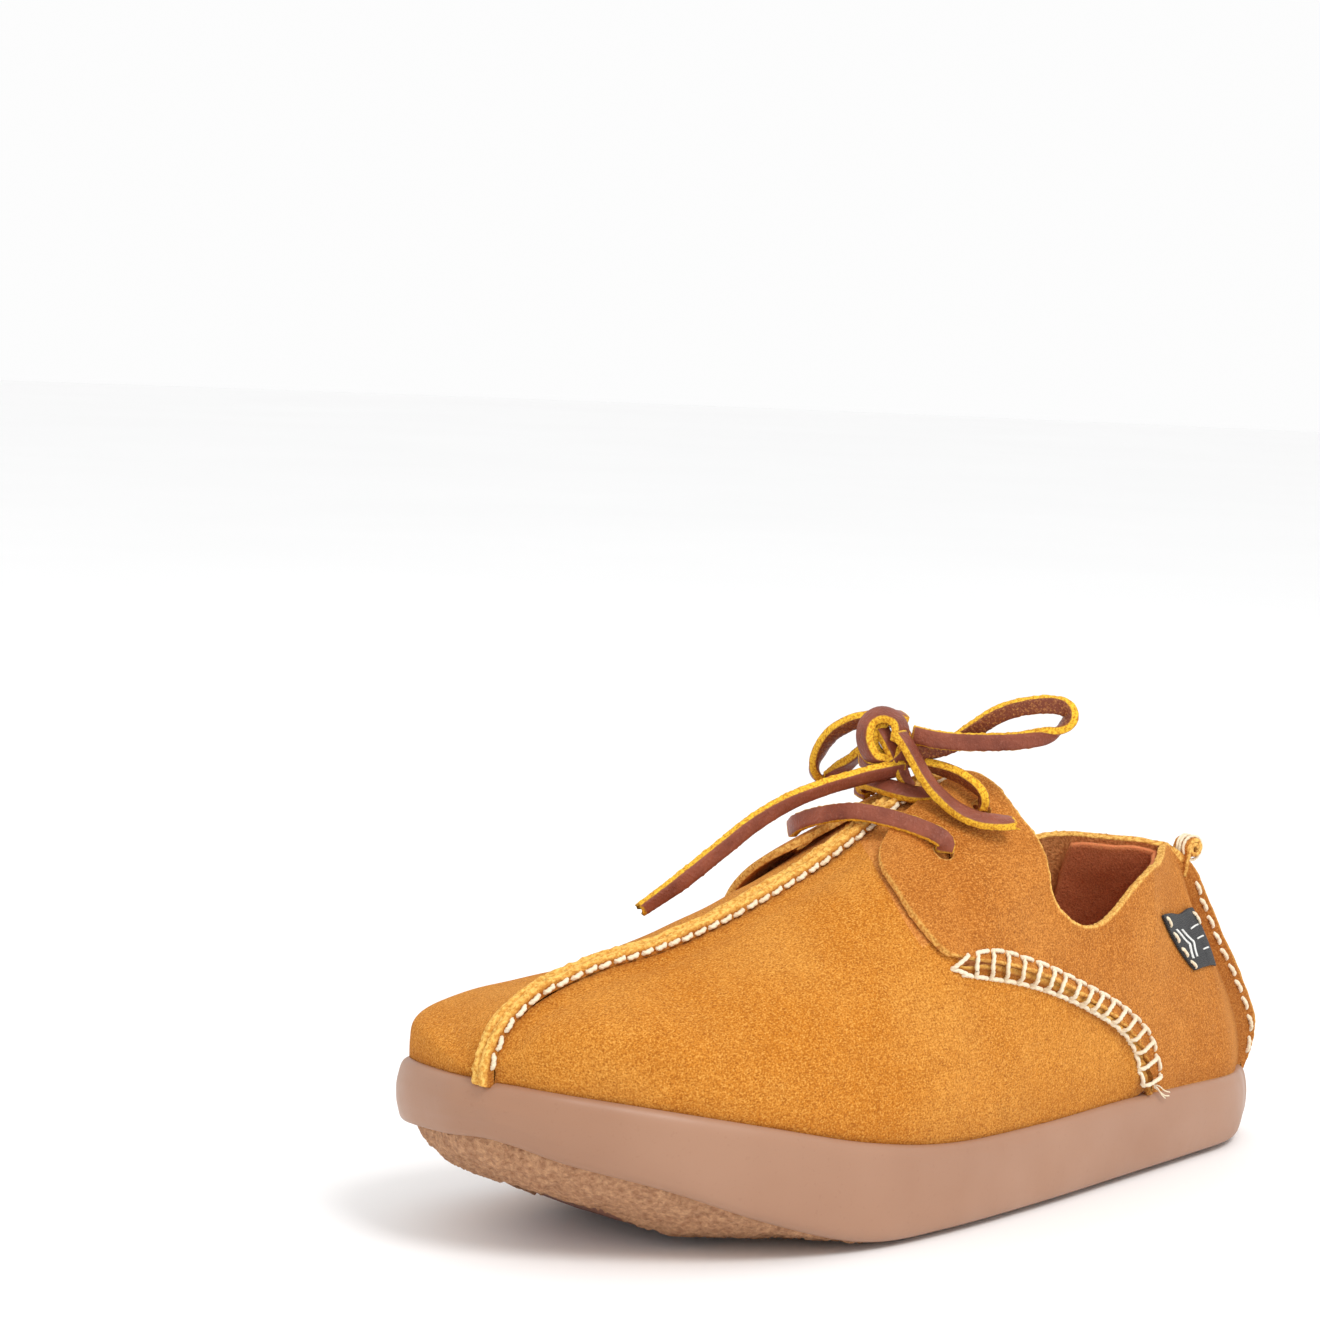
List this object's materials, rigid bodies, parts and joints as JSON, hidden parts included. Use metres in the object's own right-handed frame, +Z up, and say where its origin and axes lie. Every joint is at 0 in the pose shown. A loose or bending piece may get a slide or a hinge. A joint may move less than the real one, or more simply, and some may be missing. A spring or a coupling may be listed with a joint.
{
  "type": "moccasin shoe",
  "caption": "Low suede moccasin with a raised centre seam, laddered side seams, a thong lace tied in a bow and a wrapped wedge sole with a crepe tread.",
  "frame": {"origin": "centre of the shoe's bounding box in plan, without the lace, on the plane the tread rests on", "axes": "+X towards the toe, +Y towards the outer side of the left foot, +Z up"},
  "size_m": [0.2856, 0.1021, 0.1321],
  "materials": {
    "suede": "matt, napped",
    "lining_suede": "matt, napped",
    "sidewall_rubber": "satin",
    "crepe": "rough, crumbly",
    "panel_rubber": "smooth",
    "fibre_board": "matt",
    "cork": "matt",
    "sock_leather": "matt",
    "woven_tape": "woven",
    "waxed_thread": "twisted, waxed",
    "thong": "smooth grain side, rough gold flesh side"
  },
  "bodies": {
    "root": {"sole_sidewall": "sidewall_rubber", "crepe_tread": "crepe", "forefoot_panel": "panel_rubber", "insole_board": "fibre_board", "cork_footbed": "cork", "sock_liner": "sock_leather", "vamp_lateral": "suede", "vamp_medial": "suede", "quarter_lateral": "suede", "quarter_medial": "suede", "heel_lining": "lining_suede", "heel_curl": "suede", "woven_label": "woven_tape", "thread_centre_seam": "waxed_thread", "thread_ladder_lateral": "waxed_thread", "thread_ladder_medial": "waxed_thread", "thread_heel_seam": "waxed_thread", "thread_label": "waxed_thread", "thread_heel_curl": "waxed_thread", "lace_lower_bar": "thong", "lace_upper_bar": "thong", "lace_knot": "thong", "lace_loop_rear": "thong", "lace_loop_front": "thong", "lace_tail_long": "thong", "lace_tail_short": "thong"}
  },
  "joints": []
}
